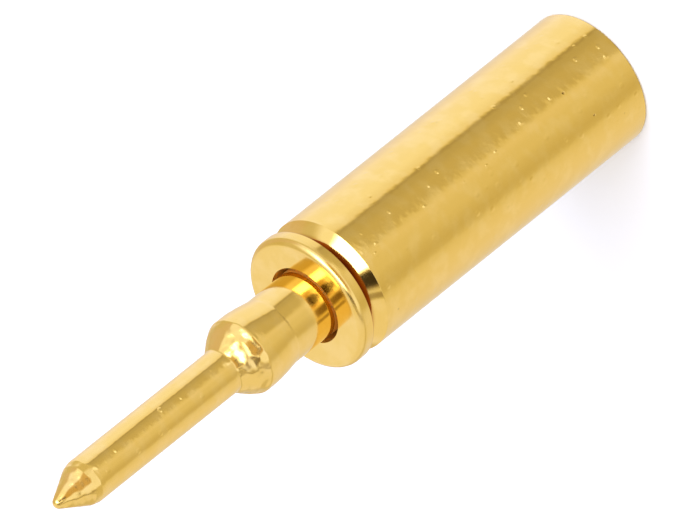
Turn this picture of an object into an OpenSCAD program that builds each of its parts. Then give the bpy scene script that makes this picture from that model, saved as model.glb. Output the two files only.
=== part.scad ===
// Spring-loaded contact pin: a closed barrel, a guide bushing pressed into its mouth,
// a pointed plunger that slides through the bushing, and the compression spring behind it.
// Millimetres. The pin stands on the barrel's flat base at Z = 0 and its tip points to +Z.

/* [Barrel] */
// Outside diameter of the barrel and of the bushing's flange
barrel_d = 1.83; // [1.6:0.01:2.6]
// Length of the barrel from its base to its mouth
barrel_length = 5.08; // [4.6:0.01:9]
// Diameter of the blind bore
bore_d = 1.20; // [1.16:0.01:1.4]
// Thickness of the closed base under the bore
base_thickness = 0.45; // [0.2:0.01:1]
// Flat land left round the bore at the mouth, inside the 45 degree chamfer
mouth_land = 0.055; // [0.02:0.005:0.1]
// Chamfer round the edge of the base
base_chamfer = 0.02; // [0.01:0.005:0.1]

/* [Guide bushing] */
// Thickness of the flange that stands on the barrel's mouth
flange_thickness = 0.21; // [0.15:0.01:0.6]
// Rounding of the flange's front edge
flange_round = 0.10; // [0.02:0.01:0.12]
// Length of the shank pressed into the bore
shank_length = 0.85; // [0.4:0.01:1.2]
// Lead-in chamfer at the shank's inner end
shank_chamfer = 0.03; // [0.01:0.005:0.05]

/* [Plunger] */
// Diameter of the neck that runs through the bushing
neck_d = 0.93; // [0.7:0.01:1]
// Bare length of the neck above the flange when the plunger is fully out
neck_length = 0.66; // [0.4:0.01:1.2]
// Diameter of the collar
collar_d = 1.03; // [1.01:0.01:1.08]
// Length of the rounded rear shoulder of the collar
collar_shoulder = 0.15; // [0.05:0.01:0.4]
// Length of the collar's full diameter
collar_length = 0.37; // [0.1:0.01:1.5]
// Length of the slow taper at the front of the collar
collar_taper = 0.12; // [0.05:0.01:0.5]
// How much the slow taper takes off the collar's radius
collar_taper_depth = 0.065; // [0.02:0.005:0.1]
// Half angle of the steep cone between the collar and the shaft
shoulder_half_angle = 36; // [25:1:75]
// Diameter of the contact shaft
shaft_d = 0.60; // [0.4:0.01:0.8]
// Length of the contact shaft between the collar's cone and the point
shaft_length = 2.50; // [1:0.01:6]
// Included angle of the point
tip_angle = 54; // [40:1:100]
// Radius of the rounded nose
tip_r = 0.08; // [0.03:0.005:0.15]
// Length of the small bevel where the shaft meets the point
tip_bevel = 0.10; // [0.02:0.01:0.15]
// Length of the wide tail that the bushing holds back
tail_length = 0.70; // [0.3:0.01:1]
// Chamfers on the tail's two edges
tail_chamfer = 0.04; // [0.01:0.005:0.06]

/* [Spring] */
// Wire diameter of the spring
wire_d = 0.12; // [0.08:0.005:0.14]
// Number of turns with a gap between them
active_turns = 9; // [5:1:14]
// Number of closed turns at each end
closed_turns = 1; // [1:1:2]

/* [Fits] */
// How far the plunger goes in before its stem meets the bore's floor
travel = 0.60; // [0.2:0.01:0.8]
// Gap between the collar and the bushing's hole, so that the bushing can pass over it
collar_clearance = 0.01; // [0.005:0.005:0.02]
// Running gap between the tail and the bore
tail_clearance = 0.02; // [0.01:0.005:0.04]
// Gap between the spring and the bore, and between the stem and the spring
spring_clearance = 0.04; // [0.02:0.01:0.06]
// Gap left at a hard stop
stop_gap = 0.02; // [0.01:0.005:0.05]

/* [Hidden] */
$fn = 96;

gold = "#d9b55a";
pale_gold = "#e3c373";
steel = "#c9c4ba";

// Heights up the pin, from the base
face_z = barrel_length + flange_thickness;
shank_end_z = barrel_length - shank_length;
tail_top_z = shank_end_z - stop_gap;
tail_end_z = tail_top_z - tail_length;
stem_end_z = base_thickness + travel + stop_gap;
neck_end_z = face_z + neck_length;
collar_z = neck_end_z + collar_shoulder;
collar_end_z = collar_z + collar_length;
cone_z = collar_end_z + collar_taper;
shaft_z = cone_z + (collar_d / 2 - collar_taper_depth - shaft_d / 2) / tan(shoulder_half_angle);
point_z = shaft_z + shaft_length;

// Radii that follow from a fit
hole_r = collar_d / 2 + collar_clearance;
tail_r = bore_d / 2 - tail_clearance;
spring_r = bore_d / 2 - spring_clearance;
stem_r = spring_r - wire_d - spring_clearance;
mouth_chamfer = (barrel_d - bore_d) / 2 - mouth_land;

// The flange's rounding stays inside half its thickness
flange_edge_r = min(flange_round, 0.49 * flange_thickness);

// A solid of revolution about Z from half-profile points [radius, height]
module turned(points) {
    rotate_extrude() polygon(points);
}

// The closed tube. Its chamfered mouth and the bushing's flange make the ring groove.
module barrel() {
    color(gold)
        turned([
            [0, 0],
            [barrel_d / 2 - base_chamfer, 0],
            [barrel_d / 2, base_chamfer],
            [barrel_d / 2, barrel_length - mouth_chamfer],
            [barrel_d / 2 - mouth_chamfer, barrel_length],
            [bore_d / 2, barrel_length],
            [bore_d / 2, base_thickness],
            [0, base_thickness],
        ]);
}

// Half-profile of the flange, with a true arc on its front edge
module flange_profile() {
    rim_r = barrel_d / 2;
    translate([hole_r, barrel_length])
        square([rim_r - flange_edge_r - hole_r, flange_thickness]);
    translate([hole_r, barrel_length])
        square([rim_r - hole_r, flange_thickness - flange_edge_r]);
    translate([rim_r - flange_edge_r, face_z - flange_edge_r])
        circle(flange_edge_r);
}

// The flanged bush that guides the neck and keeps the tail in
module guide_bushing() {
    color(pale_gold) {
        rotate_extrude() flange_profile();
        turned([
            [hole_r, shank_end_z],
            [bore_d / 2 - shank_chamfer, shank_end_z],
            [bore_d / 2, shank_end_z + shank_chamfer],
            [bore_d / 2, barrel_length + flange_thickness / 2],
            [hole_r, barrel_length + flange_thickness / 2],
        ]);
    }
}

// Half-profile of the point: a straight cone that runs into a round nose
module point_profile() {
    half = tip_angle / 2;
    shaft_r = shaft_d / 2;
    cone_r = shaft_r - tip_bevel * tan(half / 2);
    cone_base_z = point_z + tip_bevel;
    touch_r = tip_r * cos(half);
    touch_z = cone_base_z + (cone_r - touch_r) / tan(half);
    nose_z = touch_z - tip_r * sin(half);
    polygon([
        [0, point_z],
        [shaft_r, point_z],
        [cone_r, cone_base_z],
        [touch_r, touch_z],
        [0, touch_z],
    ]);
    intersection() {
        translate([0, nose_z]) circle(tip_r);
        translate([0, nose_z]) square([tip_r, tip_r]);
    }
}

// The turned plunger: stem inside the spring, tail, neck, collar, shaft and point
module plunger() {
    color(pale_gold) {
        turned([
            [0, stem_end_z],
            [stem_r - tail_chamfer, stem_end_z],
            [stem_r, stem_end_z + tail_chamfer],
            [stem_r, tail_end_z],
            [tail_r - tail_chamfer, tail_end_z],
            [tail_r, tail_end_z + tail_chamfer],
            [tail_r, tail_top_z - tail_chamfer],
            [tail_r - tail_chamfer, tail_top_z],
            [neck_d / 2, tail_top_z],
            [neck_d / 2, neck_end_z],
            [collar_d / 2 - 0.2 * (collar_d - neck_d) / 2, neck_end_z + 0.55 * collar_shoulder],
            [collar_d / 2, collar_z],
            [collar_d / 2, collar_end_z],
            [collar_d / 2 - collar_taper_depth, cone_z],
            [shaft_d / 2, shaft_z],
            [shaft_d / 2, point_z],
            [0, point_z],
        ]);
        rotate_extrude() point_profile();
    }
}

// Closed mesh of a round wire swept along [radius, angle, height] stations about Z
module wire_helix(stations, wire_r, sides) {
    last = len(stations) - 1;
    ring_points = [
        for (s = stations, k = [0 : sides - 1])
            let (
                out = s[0] + wire_r * cos(360 * k / sides),
                up = s[2] + wire_r * sin(360 * k / sides)
            )
            [out * cos(s[1]), out * sin(s[1]), up]
    ];
    skin = [
        for (i = [0 : last - 1], k = [0 : sides - 1])
            let (
                a = i * sides + k,
                b = i * sides + (k + 1) % sides
            )
            [a, b, b + sides, a + sides]
    ];
    start_cap = [[for (k = [sides - 1 : -1 : 0]) k]];
    end_cap = [[for (k = [0 : sides - 1]) last * sides + k]];
    polyhedron(ring_points, concat(start_cap, skin, end_cap), convexity = 10);
}

// Height of the wire's centre after a number of turns: closed, open, then closed again
function coil_rise(turn, closed_rise, pitch) =
    turn <= closed_turns
        ? turn * closed_rise
        : turn <= closed_turns + active_turns
            ? closed_turns * closed_rise + (turn - closed_turns) * pitch
            : closed_turns * closed_rise + active_turns * pitch
                + (turn - closed_turns - active_turns) * closed_rise;

// The compression spring, between the bore's floor and the tail
module spring() {
    seat_gap = stop_gap / 2;
    steps_per_turn = 18;
    wire_sides = 8;
    closed_rise = 1.12 * wire_d;
    total_turns = active_turns + 2 * closed_turns;
    rise = tail_end_z - base_thickness - 2 * seat_gap - wire_d;
    pitch = (rise - 2 * closed_turns * closed_rise) / active_turns;
    steps = total_turns * steps_per_turn;
    color(steel)
        wire_helix(
            [
                for (i = [0 : steps])
                    [
                        spring_r - wire_d / 2,
                        360 * i / steps_per_turn,
                        base_thickness + seat_gap + wire_d / 2
                            + coil_rise(i / steps_per_turn, closed_rise, pitch),
                    ]
            ],
            wire_d / 2,
            wire_sides
        );
}

barrel();
guide_bushing();
plunger();
spring();
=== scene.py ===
"""Looks of the pogo pin: a gold-plated barrel and bushing, a pointed plunger and its hidden spring.

Metres, in the CAD frame: the pin stands on the barrel's base at Z = 0 with its tip towards +Z.
The materials count in millimetres, and the studio in degrees.
"""
import math

import bpy
from mathutils import Matrix, Vector


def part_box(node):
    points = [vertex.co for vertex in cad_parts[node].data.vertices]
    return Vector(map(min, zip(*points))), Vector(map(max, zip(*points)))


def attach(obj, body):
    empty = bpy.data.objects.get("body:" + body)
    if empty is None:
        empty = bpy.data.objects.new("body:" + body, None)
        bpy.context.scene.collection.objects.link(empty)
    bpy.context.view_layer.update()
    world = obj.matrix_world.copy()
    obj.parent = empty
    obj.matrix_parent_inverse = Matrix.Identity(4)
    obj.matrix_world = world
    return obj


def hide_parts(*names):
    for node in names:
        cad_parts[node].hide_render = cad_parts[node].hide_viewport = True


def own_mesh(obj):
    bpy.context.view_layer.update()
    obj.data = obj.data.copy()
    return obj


MM = 0.001
MICRON = 1e-6

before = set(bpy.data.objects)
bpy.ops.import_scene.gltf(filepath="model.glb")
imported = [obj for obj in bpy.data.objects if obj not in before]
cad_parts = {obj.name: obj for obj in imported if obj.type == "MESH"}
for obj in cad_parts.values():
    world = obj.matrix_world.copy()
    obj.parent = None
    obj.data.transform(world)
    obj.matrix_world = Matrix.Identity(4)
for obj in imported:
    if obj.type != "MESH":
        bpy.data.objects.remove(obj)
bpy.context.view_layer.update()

# ---------------------------------------------------------------- sizes

# From the frame
barrel_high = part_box("barrel")[1]
bushing_low, bushing_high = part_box("guide_bushing")
plunger_low, plunger_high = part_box("plunger")
spring_low, spring_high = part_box("spring")

BARREL_R = barrel_high[0]
MOUTH_Z = barrel_high[2]
SHANK_Z = bushing_low[2]
FACE_Z = bushing_high[2]
STEM_Z = plunger_low[2]
TIP_Z = plunger_high[2]
SPRING_LENGTH = spring_high[2] - spring_low[2]

# What the boxes don't give, as the part has it
BORE_R = 0.60 * MM
BASE_THICKNESS = 0.45 * MM
BASE_CHAMFER = 0.02 * MM
MOUTH_LAND = 0.055 * MM
MOUTH_CHAMFER = BARREL_R - BORE_R - MOUTH_LAND
FLANGE_ROUND = 0.10 * MM
SHANK_CHAMFER = 0.03 * MM
HOLE_R = 0.525 * MM
NECK_R = 0.465 * MM
NECK_LENGTH = 0.66 * MM
COLLAR_R = 0.515 * MM
COLLAR_SHOULDER = 0.15 * MM
COLLAR_LENGTH = 0.37 * MM
COLLAR_TAPER = 0.12 * MM
TAPER_DEPTH = 0.065 * MM
CONE_HALF_ANGLE = math.radians(36)
SHAFT_R = 0.30 * MM
TIP_HALF_ANGLE = math.radians(27)
TIP_R = 0.08 * MM
TIP_BEVEL = 0.10 * MM
TAIL_R = 0.58 * MM
TAIL_LENGTH = 0.70 * MM
STEM_R = 0.40 * MM
STEM_CHAMFER = 0.04 * MM
STOP_GAP = 0.02 * MM
WIRE_R = 0.06 * MM
ACTIVE_TURNS = 9
CLOSED_TURNS = 1
CLOSED_RISE = 1.12 * 2 * WIRE_R

# Heights up the plunger
TAIL_TOP = SHANK_Z - STOP_GAP
TAIL_END = TAIL_TOP - TAIL_LENGTH
NECK_END = FACE_Z + NECK_LENGTH
COLLAR_END = NECK_END + COLLAR_SHOULDER + COLLAR_LENGTH
CONE_Z = COLLAR_END + COLLAR_TAPER
SHAFT_Z = CONE_Z + (COLLAR_R - TAPER_DEPTH - SHAFT_R) / math.tan(CONE_HALF_ANGLE)

# The scene's own fine finish: rounded corners, a gentle shoulder, and hair gaps where metal meets metal
EDGE = 0.006 * MM
SOFT_EDGE = 0.015 * MM
SHOULDER_ROUND = 1.0 * MM
CREASE_Z = NECK_END - 0.03 * MM
PRESS_GAP = 0.001 * MM

# The shoulder's straights: the height above the crease and the radius where each one ends
SHOULDER = (
    (0.04 * MM, NECK_R + 0.0078 * MM),
    (0.20 * MM, NECK_R + 0.033 * MM),
    (0.36 * MM, COLLAR_R),
)

# How finely the pieces are cut
SEGMENTS = 256
LONGEST_EDGE = 0.25 * MM
ARC_STEP = 6
LEAST_ARC_STEPS = 4
NOSE_STEPS = 10
STEPS_PER_TURN = 48
WIRE_SIDES = 16

# A rounding takes at most this share of either of its sides
CORNER_SHARE = 0.45
ON_AXIS = 1e-9

# ---------------------------------------------------------------- profiles and pieces


def round_corners(points):
    """Points [(radius, height, corner radius)] to a polyline whose corners are true arcs."""
    out = []
    last = len(points) - 1
    for i, (r, z, corner) in enumerate(points):
        here = Vector((r, z))
        if corner <= 0 or i == 0 or i == last:
            out.append(here)
            continue
        before = Vector(points[i - 1][:2]) - here
        after = Vector(points[i + 1][:2]) - here
        half = before.angle(after) / 2
        reach = min(corner / math.tan(half), CORNER_SHARE * before.length, CORNER_SHARE * after.length)
        radius = reach * math.tan(half)
        inwards = (before.normalized() + after.normalized()).normalized()
        centre = here + inwards * (radius / math.sin(half))
        start = here + before.normalized() * reach - centre
        end = here + after.normalized() * reach - centre
        turn = start.angle_signed(end)
        steps = max(LEAST_ARC_STEPS, int(abs(math.degrees(turn)) / ARC_STEP))
        for k in range(steps + 1):
            a = -turn * k / steps
            out.append(centre + Vector((start.x * math.cos(a) - start.y * math.sin(a),
                                        start.x * math.sin(a) + start.y * math.cos(a))))
    return out


def split_long(points):
    """Adds points along the straight stretches, so that no edge is longer than LONGEST_EDGE."""
    out = [points[0]]
    for a, b in zip(points, points[1:]):
        n = max(1, math.ceil((b - a).length / LONGEST_EDGE))
        out += [a + (b - a) * (k / n) for k in range(1, n + 1)]
    return out


def new_piece(name, verts, faces):
    """A smooth piece made of these points and faces."""
    mesh = bpy.data.meshes.new(name)
    mesh.from_pydata(verts, [], faces)
    mesh.validate()
    mesh.polygons.foreach_set("use_smooth", [True] * len(mesh.polygons))
    piece = bpy.data.objects.new(name, mesh)
    bpy.context.scene.collection.objects.link(piece)
    return piece


def circle_points(radius, height):
    """SEGMENTS points evenly round Z."""
    angles = [math.tau * k / SEGMENTS for k in range(SEGMENTS)]
    return [(radius * math.cos(a), radius * math.sin(a), height) for a in angles]


def turned(name, corners):
    """A smooth solid of revolution about Z. Its profile starts and ends on the axis or closes on itself."""
    verts, faces, rings = [], [], []
    for p in split_long(round_corners(corners)):
        ring = [(0.0, 0.0, p.y)] if p.x < ON_AXIS else circle_points(p.x, p.y)
        rings.append(range(len(verts), len(verts) + len(ring)))
        verts += ring
    for low, high in zip(rings, rings[1:]):
        for k in range(SEGMENTS):
            n = (k + 1) % SEGMENTS
            if len(low) == 1:
                faces.append((low[0], high[n], high[k]))
            elif len(high) == 1:
                faces.append((low[k], low[n], high[0]))
            else:
                faces.append((low[k], low[n], high[n], high[k]))
    return new_piece(name, verts, faces)


def make_barrel():
    """The closed tube. Its chamfered mouth and the bushing's flange make the ring groove."""
    return turned("barrel_shell", [
        (0, 0, 0),
        (BARREL_R - BASE_CHAMFER, 0, EDGE),
        (BARREL_R, BASE_CHAMFER, EDGE),
        (BARREL_R, MOUTH_Z - MOUTH_CHAMFER, EDGE),
        (BARREL_R - MOUTH_CHAMFER, MOUTH_Z, EDGE),
        (BORE_R, MOUTH_Z, EDGE),
        (BORE_R, BASE_THICKNESS, EDGE),
        (0, BASE_THICKNESS, 0),
    ])


def make_bushing():
    """The flanged bush at the mouth. Its profile is a closed loop that starts inside the hole."""
    in_hole = (HOLE_R, SHANK_Z + 0.1 * MM, 0)
    return turned("bushing_ring", [
        in_hole,
        (HOLE_R, SHANK_Z, EDGE),
        (BORE_R - SHANK_CHAMFER, SHANK_Z, EDGE),
        (BORE_R - PRESS_GAP, SHANK_Z + SHANK_CHAMFER, EDGE),
        (BORE_R - PRESS_GAP, MOUTH_Z + PRESS_GAP, EDGE),
        (BARREL_R, MOUTH_Z + PRESS_GAP, EDGE),
        (BARREL_R, FACE_Z, FLANGE_ROUND),
        (HOLE_R, FACE_Z, EDGE),
        in_hole,
    ])


def point_profile():
    """The end of the shaft, its small bevel, the point's cone and the round nose."""
    nose_z = TIP_Z - TIP_R
    touch_r = TIP_R * math.cos(TIP_HALF_ANGLE)
    touch_z = nose_z + TIP_R * math.sin(TIP_HALF_ANGLE)
    point_z = touch_z - (SHAFT_R - touch_r) / math.tan(TIP_HALF_ANGLE)
    bevel_r = SHAFT_R - TIP_BEVEL * math.tan(TIP_HALF_ANGLE / 2)
    nose_arc = math.pi / 2 - TIP_HALF_ANGLE
    angles = [nose_arc * (1 - k / NOSE_STEPS) for k in range(1, NOSE_STEPS)]
    nose = [(TIP_R * math.sin(a), nose_z + TIP_R * math.cos(a), 0) for a in angles]
    return [
        (SHAFT_R, point_z - TIP_BEVEL / 2, 4 * SOFT_EDGE),
        (bevel_r, point_z + TIP_BEVEL / 2, 4 * SOFT_EDGE),
        (touch_r, touch_z, 0),
    ] + nose + [(0, TIP_Z, 0)]


def make_plunger():
    """Stem, tail, neck, collar, shaft and point. The collar rises from the neck in three gentle straights."""
    shoulder = [(radius, CREASE_Z + rise, SHOULDER_ROUND) for rise, radius in SHOULDER]
    return turned("plunger_pin", [
        (0, STEM_Z, 0),
        (STEM_R - STEM_CHAMFER, STEM_Z, EDGE),
        (STEM_R, STEM_Z + STEM_CHAMFER, EDGE),
        (STEM_R, TAIL_END, EDGE),
        (TAIL_R, TAIL_END, EDGE),
        (TAIL_R, TAIL_TOP, EDGE),
        (NECK_R, TAIL_TOP, EDGE),
        (NECK_R, CREASE_Z, 2 * SOFT_EDGE),
    ] + shoulder + [
        (COLLAR_R, COLLAR_END, 5 * SOFT_EDGE),
        (COLLAR_R - TAPER_DEPTH, CONE_Z, 6 * SOFT_EDGE),
        (SHAFT_R, SHAFT_Z, 4 * SOFT_EDGE),
    ] + point_profile())


def make_spring():
    """A compression spring of round wire, with a closed turn at each end."""
    coil_r = spring_high[0] - WIRE_R
    total_turns = ACTIVE_TURNS + 2 * CLOSED_TURNS
    pitch = (SPRING_LENGTH - 2 * WIRE_R - 2 * CLOSED_TURNS * CLOSED_RISE) / ACTIVE_TURNS
    steps = STEPS_PER_TURN * total_turns
    section = [math.tau * k / WIRE_SIDES for k in range(WIRE_SIDES)]
    verts, faces = [], []
    for i in range(steps + 1):
        turn = total_turns * i / steps
        open_turns = min(max(turn - CLOSED_TURNS, 0), ACTIVE_TURNS)
        z = spring_low[2] + WIRE_R + open_turns * pitch + (turn - open_turns) * CLOSED_RISE
        x, y = math.cos(math.tau * turn), math.sin(math.tau * turn)
        for a in section:
            out = coil_r + WIRE_R * math.cos(a)
            verts.append((out * x, out * y, z + WIRE_R * math.sin(a)))
    for i in range(steps):
        for k in range(WIRE_SIDES):
            a, b = i * WIRE_SIDES + k, i * WIRE_SIDES + (k + 1) % WIRE_SIDES
            faces.append((a, b, b + WIRE_SIDES, a + WIRE_SIDES))
    faces.append(tuple(reversed(range(WIRE_SIDES))))
    faces.append(tuple(range(steps * WIRE_SIDES, (steps + 1) * WIRE_SIDES)))
    return new_piece("spring_coil", verts, faces)


# ---------------------------------------------------------------- shader nodes


def add(tree, kind, inputs=(), **settings):
    """A new node. Inputs are pairs of a socket's name or number and a value or an output to link."""
    node = tree.nodes.new("ShaderNode" + kind)
    for name, value in settings.items():
        setattr(node, name, value)
    for key, value in inputs:
        if isinstance(value, bpy.types.NodeSocket):
            tree.links.new(value, node.inputs[key])
        else:
            node.inputs[key].default_value = value
    return node


def calculate(tree, operation, *values):
    """The output of one Math node."""
    return add(tree, "Math", list(enumerate(values)), operation=operation).outputs[0]


def all_of(tree, *factors):
    """The factors' product: 1 only where all of them are 1."""
    product = factors[0]
    for factor in factors[1:]:
        product = calculate(tree, "MULTIPLY", product, factor)
    return product


def distance(tree, x, y):
    """How far the point (x, y) is from (0, 0)."""
    squares = [calculate(tree, "MULTIPLY", value, value) for value in (x, y)]
    return calculate(tree, "SQRT", calculate(tree, "ADD", *squares))


def smooth_step(tree, value, start, end, low=0.0, high=1.0):
    """Low at start and before it, high at end and after it, and a soft step between them."""
    step = add(tree, "MapRange", [("Value", value), ("From Min", start), ("From Max", end),
                                  ("To Min", low), ("To Max", high)], interpolation_type="SMOOTHSTEP")
    return step.outputs[0]


def between(tree, value, start, rise, fall, end):
    """1 from rise to fall, 0 before start and after end, with soft steps."""
    return all_of(tree, smooth_step(tree, value, start, rise), smooth_step(tree, value, end, fall))


def blend(tree, factor, first, second):
    """First where the factor is 0 and second where it is 1, for plain values."""
    mix = add(tree, "Mix", [(0, factor), (2, first), (3, second)], data_type="FLOAT")
    return mix.outputs[0]


def blend_colors(tree, factor, first, second):
    """First where the factor is 0 and second where it is 1, for colours."""
    first, second = [(*color, 1) if isinstance(color, tuple) else color for color in (first, second)]
    mix = add(tree, "Mix", [("Factor", factor), (6, first), (7, second)], data_type="RGBA")
    return mix.outputs[2]


def ramp(tree, value, stops):
    """A colour ramp with (place, colour or plain value) stops."""
    node = add(tree, "ValToRGB", [(0, value)])
    elements = node.color_ramp.elements
    while len(elements) > 1:
        elements.remove(elements[-1])
    for number, (place, color) in enumerate(stops):
        element = elements[0] if number == 0 else elements.new(place)
        element.position = place
        element.color = (color, color, color, 1) if isinstance(color, float) else (*color, 1)
    return node.outputs[0]


def stretched_noise(tree, place, across, along, detail):
    """Noise whose grains are 1/across mm wide round the pin and 1/along mm long on its axis."""
    grains = add(tree, "VectorMath", [(0, place), (1, (across, across, along))], operation="MULTIPLY")
    noise = add(tree, "TexNoise", [("Vector", grains.outputs[0]), ("Scale", 1.0), ("Detail", detail)])
    return noise.outputs[0]


def centred(tree, noise):
    """The same noise about 0, so that a mask over it leaves no step at its edge."""
    return calculate(tree, "SUBTRACT", noise, 0.5)


def specks(tree, place_mm, per_mm, size, share):
    """1 inside small dots, in that share of the cells, and 0 elsewhere. Size is a dot's radius in cells."""
    cells = add(tree, "TexVoronoi", [("Vector", place_mm), ("Scale", per_mm)])
    pick = add(tree, "SeparateXYZ", [(0, cells.outputs["Color"])]).outputs[0]
    dots = smooth_step(tree, cells.outputs["Distance"], size, 0.3 * size)
    return all_of(tree, dots, smooth_step(tree, pick, share, share - 0.05))


def bump(tree, height, depth, normal=None):
    """A bump whose full height range is that many metres deep."""
    inputs = [("Strength", 1.0), ("Distance", depth), ("Height", height)]
    if normal is not None:
        inputs.append(("Normal", normal))
    return add(tree, "Bump", inputs).outputs[0]


# ---------------------------------------------------------------- places on the pin, in millimetres


def radius_and_height(tree, place_mm):
    """Distance from the pin's axis, and height above its base."""
    x, y, z = add(tree, "SeparateXYZ", [(0, place_mm)]).outputs
    return distance(tree, x, y), z


def in_groove(tree, place_mm):
    """1 at the foot of the groove behind the flange, where a brown painted shade stands for the dark of the
    recess.
    """
    radius, z = radius_and_height(tree, place_mm)
    mouth, bore = MOUTH_Z / MM, BORE_R / MM
    return all_of(tree, between(tree, z, mouth - 0.16, mouth - 0.10, mouth + 0.004, mouth + 0.012),
                  smooth_step(tree, radius, bore + 0.01, bore + 0.03))


def on_neck_foot(tree, place_mm):
    """1 on the neck just above the flange's face, where a yellower painted reflection stands for the neck and
    the face mirroring each other.
    """
    radius, z = radius_and_height(tree, place_mm)
    face, neck = FACE_Z / MM, NECK_R / MM
    return all_of(tree, smooth_step(tree, z, face + 0.34, face + 0.27),
                  smooth_step(tree, radius, neck + 0.03, neck + 0.01))


def on_rim(tree, place_mm):
    """1 on the rounded front edge of the bushing's flange, where the polish is softer."""
    radius, z = radius_and_height(tree, place_mm)
    face, rim = FACE_Z / MM, BARREL_R / MM
    return all_of(tree, between(tree, z, face - 0.14, face - 0.10, face, face + 0.05),
                  smooth_step(tree, radius, rim - 0.14, rim - 0.08))


def inside_hole(tree, place_mm):
    """1 on the surfaces that lie in the bushing's hole at rest, where the lathe leaves them rough and an
    orange painted reflection stands for gold mirrored in gold in the gap.
    """
    radius, z = radius_and_height(tree, place_mm)
    face, hole = FACE_Z / MM, HOLE_R / MM
    return all_of(tree, smooth_step(tree, z, face - 0.005, face - 0.02),
                  smooth_step(tree, radius, hole + 0.01, hole + 0.005))


def on_point(tree, z):
    """1 on the plunger's point."""
    tip = TIP_Z / MM
    return smooth_step(tree, z, tip - 0.64, tip - 0.56)


def on_cone(tree, z):
    """1 on the collar's taper and cone."""
    foot, top = COLLAR_END / MM, SHAFT_Z / MM
    return between(tree, z, foot - 0.05, foot + 0.04, top - 0.05, top + 0.10)


def on_long_sides(tree, z):
    """1 on the barrel's side and on the plunger's shaft."""
    barrel_end, shaft = (MOUTH_Z - MOUTH_CHAMFER) / MM, SHAFT_Z / MM
    sides = calculate(tree, "ADD", smooth_step(tree, z, barrel_end - 0.02, barrel_end - 0.06),
                      smooth_step(tree, z, shaft, shaft + 0.1))
    return calculate(tree, "SUBTRACT", sides, on_point(tree, z))


# ---------------------------------------------------------------- materials

BARREL_GOLD = (0.87, 0.62, 0.15)
BARREL_CLOUDS = (0.90, 0.66, 0.19)
PLUNGER_GOLD = (0.88, 0.63, 0.16)
PLUNGER_CLOUDS = (0.90, 0.66, 0.20)
PIT_BROWN = (0.25, 0.13, 0.03)
# Painted reflection: the deep yellow of the neck mirrored twice between itself and the flange's face
NECK_FOOT_PAINTED_REFLECTION = (0.99, 0.72, 0.21)
# Painted shade: the dark brown at the groove's foot behind the flange
GROOVE_PAINTED_SHADE = (0.42, 0.14, 0.02)
# Painted reflection: the deep orange of gold mirrored in gold inside the hole's gap
HOLE_PAINTED_REFLECTION = (1.0, 0.66, 0.14)
STEEL = (0.60, 0.59, 0.57)
DULL_STEEL = (0.50, 0.48, 0.45)

# Roughness of the polished plating, what duller spots add to it, and the roughness in the hole
POLISH = 0.07
CLOUDS_ADD = 0.05
KNOCKS_ADD = 0.12
RIM_ADD = 0.12
HOLE_ROUGHNESS = 0.6

# The point is knocked a little less than the collar's cone, and the pits are half stained
POINT_KNOCKS = 0.8
PIT_STAIN = 0.5


def new_metal(name):
    """A bare metal material, its node tree, and the place on the pin in millimetres."""
    material = bpy.data.materials.new(name)
    material.use_nodes = True
    tree = material.node_tree
    tree.nodes["Principled BSDF"].inputs["Metallic"].default_value = 1.0
    place = add(tree, "TexCoord").outputs["Object"]
    place_mm = add(tree, "VectorMath", [(0, place), ("Scale", 1 / MM)], operation="SCALE").outputs[0]
    return material, tree, place_mm


def connect(tree, color, roughness, normal):
    """Gives the shader its colour, roughness and bumps."""
    shader = tree.nodes["Principled BSDF"]
    for socket, source in (("Base Color", color), ("Roughness", roughness), ("Normal", normal)):
        tree.links.new(source, shader.inputs[socket])


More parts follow.
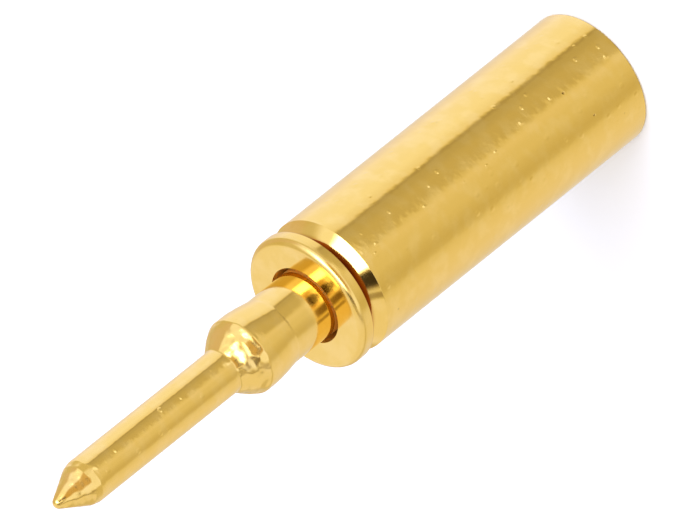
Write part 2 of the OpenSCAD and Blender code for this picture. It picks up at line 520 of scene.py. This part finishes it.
def gold_material(name, gold, cloud_gold):
    """Bright gold plating over a turned surface: lathe rings, a soft wave, pits, grains and cloudy spots,
    with painted reflection on the neck's foot and in the hole and painted shade in the groove.
    """
    material, tree, place_mm = new_metal(name)
    z = radius_and_height(tree, place_mm)[1]
    on_sides = on_long_sides(tree, z)
    point_knocks = calculate(tree, "MULTIPLY", on_point(tree, z), POINT_KNOCKS)
    knocked = calculate(tree, "MAXIMUM", on_cone(tree, z), point_knocks)

    wave = stretched_noise(tree, place_mm, across=1.6, along=2.4, detail=2.0)
    lathe = stretched_noise(tree, place_mm, across=3.5, along=8.0, detail=4.0)
    fine_lathe = stretched_noise(tree, place_mm, across=5.0, along=90.0, detail=2.0)
    peel = centred(tree, stretched_noise(tree, place_mm, across=9.0, along=9.0, detail=1.0))
    dents = centred(tree, stretched_noise(tree, place_mm, across=6.0, along=6.0, detail=1.0))
    clouds = stretched_noise(tree, place_mm, across=3.5, along=5.0, detail=4.0)
    pits = all_of(tree, on_sides, specks(tree, place_mm, per_mm=2.3, size=0.06, share=0.8))
    grains = all_of(tree, on_sides, specks(tree, place_mm, per_mm=5.5, size=0.24, share=0.8))

    normal = None
    for marks, depth in (
        (wave, 0.9 * MICRON),
        (lathe, 1.1 * MICRON),
        (fine_lathe, 0.08 * MICRON),
        (all_of(tree, on_sides, peel), 1.8 * MICRON),
        (grains, 2.8 * MICRON),
        (pits, -4.0 * MICRON),
        (all_of(tree, knocked, dents), 30 * MICRON),
    ):
        normal = bump(tree, marks, depth, normal)

    plating = blend_colors(tree, smooth_step(tree, clouds, 0.42, 0.68), gold, cloud_gold)
    for place, color in (
        (calculate(tree, "MULTIPLY", pits, PIT_STAIN), PIT_BROWN),
        # painted reflection on the neck's foot
        (on_neck_foot(tree, place_mm), NECK_FOOT_PAINTED_REFLECTION),
        # painted shade at the groove's foot
        (in_groove(tree, place_mm), GROOVE_PAINTED_SHADE),
        # painted reflection inside the hole
        (inside_hole(tree, place_mm), HOLE_PAINTED_REFLECTION),
    ):
        plating = blend_colors(tree, place, plating, color)

    roughness = smooth_step(tree, clouds, 0.35, 0.7, POLISH, POLISH + CLOUDS_ADD)
    roughness = calculate(tree, "MULTIPLY_ADD", knocked, KNOCKS_ADD, roughness)
    roughness = calculate(tree, "MULTIPLY_ADD", on_rim(tree, place_mm), RIM_ADD, roughness)
    roughness = blend(tree, inside_hole(tree, place_mm), roughness, HOLE_ROUGHNESS)
    connect(tree, plating, roughness, normal)
    return material


def wire_material(name):
    """Drawn spring steel: a clear grey metal with fine draw marks and a few duller patches."""
    material, tree, place_mm = new_metal(name)
    draw_marks = stretched_noise(tree, place_mm, across=4.0, along=60.0, detail=3.0)
    patches = stretched_noise(tree, place_mm, across=3.0, along=3.0, detail=3.0)
    steel = blend_colors(tree, smooth_step(tree, patches, 0.40, 0.65), STEEL, DULL_STEEL)
    roughness = smooth_step(tree, patches, 0.35, 0.70, low=0.20, high=0.34)
    connect(tree, steel, roughness, bump(tree, draw_marks, 0.4 * MICRON))
    return material


# ---------------------------------------------------------------- the pieces, dressed and placed

BARREL_MATERIAL = gold_material("gold_plate", BARREL_GOLD, BARREL_CLOUDS)
PLUNGER_MATERIAL = gold_material("plunger_gold", PLUNGER_GOLD, PLUNGER_CLOUDS)

pieces = {}
for maker, body, node, slot, material in (
    (make_barrel, "housing", "barrel", "gold_plate", BARREL_MATERIAL),
    (make_bushing, "housing", "guide_bushing", "gold_plate", BARREL_MATERIAL),
    (make_plunger, "plunger", "plunger", "plunger_gold", PLUNGER_MATERIAL),
    (make_spring, "housing", "spring", "spring_steel", wire_material("spring_steel")),
):
    piece = maker()
    piece.data.materials.append(material)
    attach(piece, body)
    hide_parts(node)
    pieces[node] = piece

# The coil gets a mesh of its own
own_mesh(pieces["spring"])

# ---------------------------------------------------------------- floor

FLOOR_HALF = 0.6
FLOOR_Z = -0.002 * MM
FLOOR_COLOR = (0.93, 0.98, 0.92, 1)


def make_floor():
    """A plain pale floor a hair below the base, which keeps the shadow and isn't mirrored in the plating."""
    corners = [(x * FLOOR_HALF, y * FLOOR_HALF, FLOOR_Z) for x, y in ((-1, -1), (1, -1), (1, 1), (-1, 1))]
    floor = new_piece("floor", corners, [(0, 1, 2, 3)])
    material = bpy.data.materials.new("floor")
    material.use_nodes = True
    material.node_tree.nodes["Principled BSDF"].inputs["Base Color"].default_value = FLOOR_COLOR
    floor.data.materials.append(material)
    floor.visible_glossy = False
    return floor


make_floor()

# ---------------------------------------------------------------- studio

# Azimuth 0 is towards the camera and grows to the lower right of the picture. The camera looks
# down at the pin, so that the pin's side mirrors what lies at this elevation.
SIDE_MIRRORS = -33.0

# The walls' light below the horizon, by azimuth
WALLS = (
    (-180, 0.80), (-155, 0.93), (-125, 1.12), (-80, 1.12), (-66, 1.04), (-59, 0.98), (-40, 0.86),
    (-12, 0.84), (3, 0.92), (15, 0.87), (27, 0.85), (40, 0.77), (53, 0.71), (61, 0.74), (69, 0.88),
    (80, 0.93), (95, 0.96), (120, 0.95), (150, 0.86), (180, 0.80),
)

# The light's colour, by its strength: the darker a part of the studio is, the warmer it is
BRIGHTEST = 8.0
TINTS = (
    (0.0, (0.0, 0.0, 0.0)), (0.3, (0.30, 0.22, 0.15)), (0.6, (0.60, 0.53, 0.44)),
    (0.72, (0.72, 0.63, 0.49)), (0.86, (0.86, 0.78, 0.70)), (0.96, (0.96, 0.88, 0.92)),
    (1.12, (1.12, 1.12, 1.50)), (BRIGHTEST, (8.0, 8.0, 10.0)),
)
WARM_SIDE_COLOR = (0.79, 0.66, 0.66)
PHOTOGRAPHER_COLOR = (0.72, 0.50, 0.26)
LENS_COLOR = (0.07, 0.04, 0.01)
WHITE = (1.0, 1.0, 1.0)

# How strong the other parts are
SHADE_BY_KEY = 0.48
SHADE_MIDDLE = 0.60
SHADE_BY_CAMERA = 0.67
SLIT_LIGHT = 1.5
GROUND_LIGHT = 0.62
LOW_RING_LIGHT = 0.14
HORIZON_LIGHT = 0.76
STRIP_LIGHT = 1.12
ROOM_FRONT = 1.14
ROOM_RIGHT = 0.98
ROOM_LEFT = 0.74
ROOM_BACK = 1.03
THIN_GAP_LIGHT = 0.45
KEY_LOW = 2.8
KEY_HIGH = 7.0
KEY_LOW_END = 6.5
CARD_LOW = 0.26
CARD_HIGH = 0.05

# Where some of them lie, in degrees: where each starts, is full, begins to fade and ends
SLIT_ACROSS = (-26, -20, -8, -2)
SLIT_UP = (-30.5, -28, -24, -21)
LOW_RING_UP = (-76, -68, -57, -53)
STRIP_ACROSS = (-32, -22, 48, 56)
THIN_GAP_ACROSS = (60, 65, 70, 76)
WARM_SIDE_ACROSS = (-168, -150, -84, -72)
WARM_SIDE_UP = (-4, 2, 20, 27)
PHOTOGRAPHER_ACROSS = (-33, -25, 20, 28)
PHOTOGRAPHER_UP = (-4, 2, 32, 35)
CARD_UP = (26, 31, 62, 72)

# The lens is a soft oval straight ahead
LENS_ELEVATION = 31.0
LENS_HALF_WIDTH = 17.0
LENS_HALF_HEIGHT = 5.5


def studio_angles(tree):
    """Azimuth and elevation of the way that a ray leaves, in degrees."""
    x, y, z = add(tree, "SeparateXYZ", [(0, add(tree, "TexCoord").outputs["Generated"])]).outputs
    aside, ahead = [calculate(tree, "MULTIPLY", part, -1.0) for part in (x, y)]
    azimuth = calculate(tree, "DEGREES", calculate(tree, "ARCTAN2", aside, ahead))
    return azimuth, calculate(tree, "DEGREES", calculate(tree, "ARCSINE", z))


def walls_below(tree, azimuth, elevation):
    """The walls below the horizon: the key's side, and fills that fade away from it."""
    whole_turn = calculate(tree, "MULTIPLY_ADD", azimuth, 1 / 360, 0.5)
    light = ramp(tree, whole_turn, [(0.5 + place / 360, strength) for place, strength in WALLS])

    # A warm shade, whose slanting edge towards the camera breaks up on the lathe rings
    lean = calculate(tree, "MAXIMUM", calculate(tree, "SUBTRACT", elevation, SIDE_MIRRORS), -1.0)
    past_edge = calculate(tree, "MULTIPLY_ADD", lean, 6.0, calculate(tree, "ADD", azimuth, 12.0))
    shade = all_of(tree, smooth_step(tree, azimuth, -62, -55), smooth_step(tree, past_edge, 6, -6))
    shade_light = smooth_step(tree, azimuth, -57, -49, SHADE_BY_KEY, SHADE_MIDDLE)
    shade_light = blend(tree, smooth_step(tree, azimuth, -48, -30), shade_light, SHADE_BY_CAMERA)
    light = blend(tree, shade, light, shade_light)

    # A small bright slit by that edge, which the grains in the plating catch
    slit = all_of(tree, between(tree, azimuth, *SLIT_ACROSS), between(tree, elevation, *SLIT_UP))
    light = blend(tree, slit, light, SLIT_LIGHT)

    # Low down the walls end in a dark ring, round a paler ground
    light = blend(tree, smooth_step(tree, elevation, -66, -76), light, GROUND_LIGHT)
    return blend(tree, between(tree, elevation, *LOW_RING_UP), light, LOW_RING_LIGHT)


def room_above(tree, azimuth, elevation, light):
    """A strip light in front, just under the horizon, and a plain bright room above it."""
    horizon = blend(tree, between(tree, azimuth, *STRIP_ACROSS), HORIZON_LIGHT, STRIP_LIGHT)
    light = blend(tree, smooth_step(tree, elevation, -22, -14), light, horizon)
    room = smooth_step(tree, azimuth, 52, 60, ROOM_FRONT, ROOM_RIGHT)
    room = blend(tree, smooth_step(tree, azimuth, -80, -100), room, ROOM_LEFT)
    from_front = calculate(tree, "ABSOLUTE", azimuth)
    room = blend(tree, smooth_step(tree, from_front, 140, 165), room, ROOM_BACK)
    room = blend(tree, between(tree, azimuth, *THIN_GAP_ACROSS), room, THIN_GAP_LIGHT)
    return blend(tree, smooth_step(tree, elevation, -5, 3), light, room)


def key_and_card(tree, azimuth, elevation, light):
    """A strong key high in front, and a dark card beside it. Their shared edge leans with the height."""
    card_edge = calculate(tree, "MULTIPLY_ADD", smooth_step(tree, elevation, 36, 56), -8.0, 26.0)
    past_edge = calculate(tree, "SUBTRACT", azimuth, card_edge)
    key_foot = smooth_step(tree, azimuth, -38, -28, 28, 34)
    above_foot = calculate(tree, "SUBTRACT", elevation, key_foot)
    key = all_of(tree, smooth_step(tree, above_foot, 0, 3), smooth_step(tree, elevation, 63, 59),
                 smooth_step(tree, azimuth, -68, -52), smooth_step(tree, past_edge, 2, -6))

    # The key's low left end is brighter than the rest of its foot
    low_end = all_of(tree, smooth_step(tree, elevation, 38, 35), smooth_step(tree, azimuth, -30, -38))
    key_light = smooth_step(tree, elevation, 40, 50, KEY_LOW, KEY_HIGH)
    key_light = blend(tree, low_end, key_light, KEY_LOW_END)
    light = blend(tree, key, light, key_light)
    card = all_of(tree, smooth_step(tree, past_edge, -2, 8), smooth_step(tree, azimuth, 62, 48),
                  between(tree, elevation, *CARD_UP))
    return blend(tree, card, light, smooth_step(tree, elevation, 38, 48, CARD_LOW, CARD_HIGH))


def tinted(tree, azimuth, elevation, light):
    """The light's colour, with a warm side on the left and the photographer, who holds a dark lens."""
    color = ramp(tree, calculate(tree, "DIVIDE", light, BRIGHTEST),
                 [(strength / BRIGHTEST, tint) for strength, tint in TINTS])
    warm_side = all_of(tree, between(tree, azimuth, *WARM_SIDE_ACROSS),
                       between(tree, elevation, *WARM_SIDE_UP))
    photographer = all_of(tree, between(tree, azimuth, *PHOTOGRAPHER_ACROSS),
                          between(tree, elevation, *PHOTOGRAPHER_UP))
    aside = calculate(tree, "DIVIDE", azimuth, LENS_HALF_WIDTH)
    above = calculate(tree, "SUBTRACT", elevation, LENS_ELEVATION)
    above = calculate(tree, "DIVIDE", above, LENS_HALF_HEIGHT)
    lens = smooth_step(tree, distance(tree, aside, above), 1.15, 0.75)
    color = blend_colors(tree, warm_side, color, WARM_SIDE_COLOR)
    color = blend_colors(tree, photographer, color, PHOTOGRAPHER_COLOR)
    return blend_colors(tree, lens, color, LENS_COLOR)


def make_studio(scene):
    """A soft studio all round, which the plating mirrors. The camera itself sees a white backdrop."""
    world = bpy.data.worlds.new("studio")
    scene.world = world
    world.use_nodes = True
    tree = world.node_tree
    azimuth, elevation = studio_angles(tree)
    light = walls_below(tree, azimuth, elevation)
    light = room_above(tree, azimuth, elevation, light)
    light = key_and_card(tree, azimuth, elevation, light)
    color = tinted(tree, azimuth, elevation, light)
    seen = add(tree, "LightPath").outputs["Is Camera Ray"]
    color = blend_colors(tree, seen, color, WHITE)
    tree.links.new(color, tree.nodes["Background"].inputs["Color"])


# ---------------------------------------------------------------- camera

# The axis leans this far from the line to the camera, and the picture is rolled about that line
# until the tip points this way, counted from the picture's right
VIEW_ANGLE = math.radians(56.7)
TIP_DIRECTION = math.radians(218.64)
CAMERA_DISTANCE = 0.25
SENSOR_WIDTH = 36.0
VIEW_WIDTH = 8.43 * MM
AIM = Vector((0.066 * MM, 0, FACE_Z - 0.896 * MM))


def place_camera(scene):
    """The photograph's camera, with a long lens from a quarter of a metre away."""
    data = bpy.data.cameras.new("camera")
    camera = bpy.data.objects.new("camera", data)
    scene.collection.objects.link(camera)
    towards = Vector((0, -math.sin(VIEW_ANGLE), math.cos(VIEW_ANGLE)))
    up = Vector((0, math.cos(VIEW_ANGLE), math.sin(VIEW_ANGLE)))
    right = up.cross(towards)
    roll = TIP_DIRECTION - math.pi / 2
    rolled_right = right * math.cos(roll) - up * math.sin(roll)
    rolled_up = right * math.sin(roll) + up * math.cos(roll)
    turn = Matrix((rolled_right, rolled_up, towards)).transposed()
    camera.matrix_world = Matrix.Translation(AIM + towards * CAMERA_DISTANCE) @ turn.to_4x4()
    data.sensor_width = SENSOR_WIDTH
    data.lens = SENSOR_WIDTH * CAMERA_DISTANCE / VIEW_WIDTH
    scene.camera = camera


scene = bpy.context.scene
scene.view_settings.view_transform = "Standard"
make_studio(scene)
place_camera(scene)
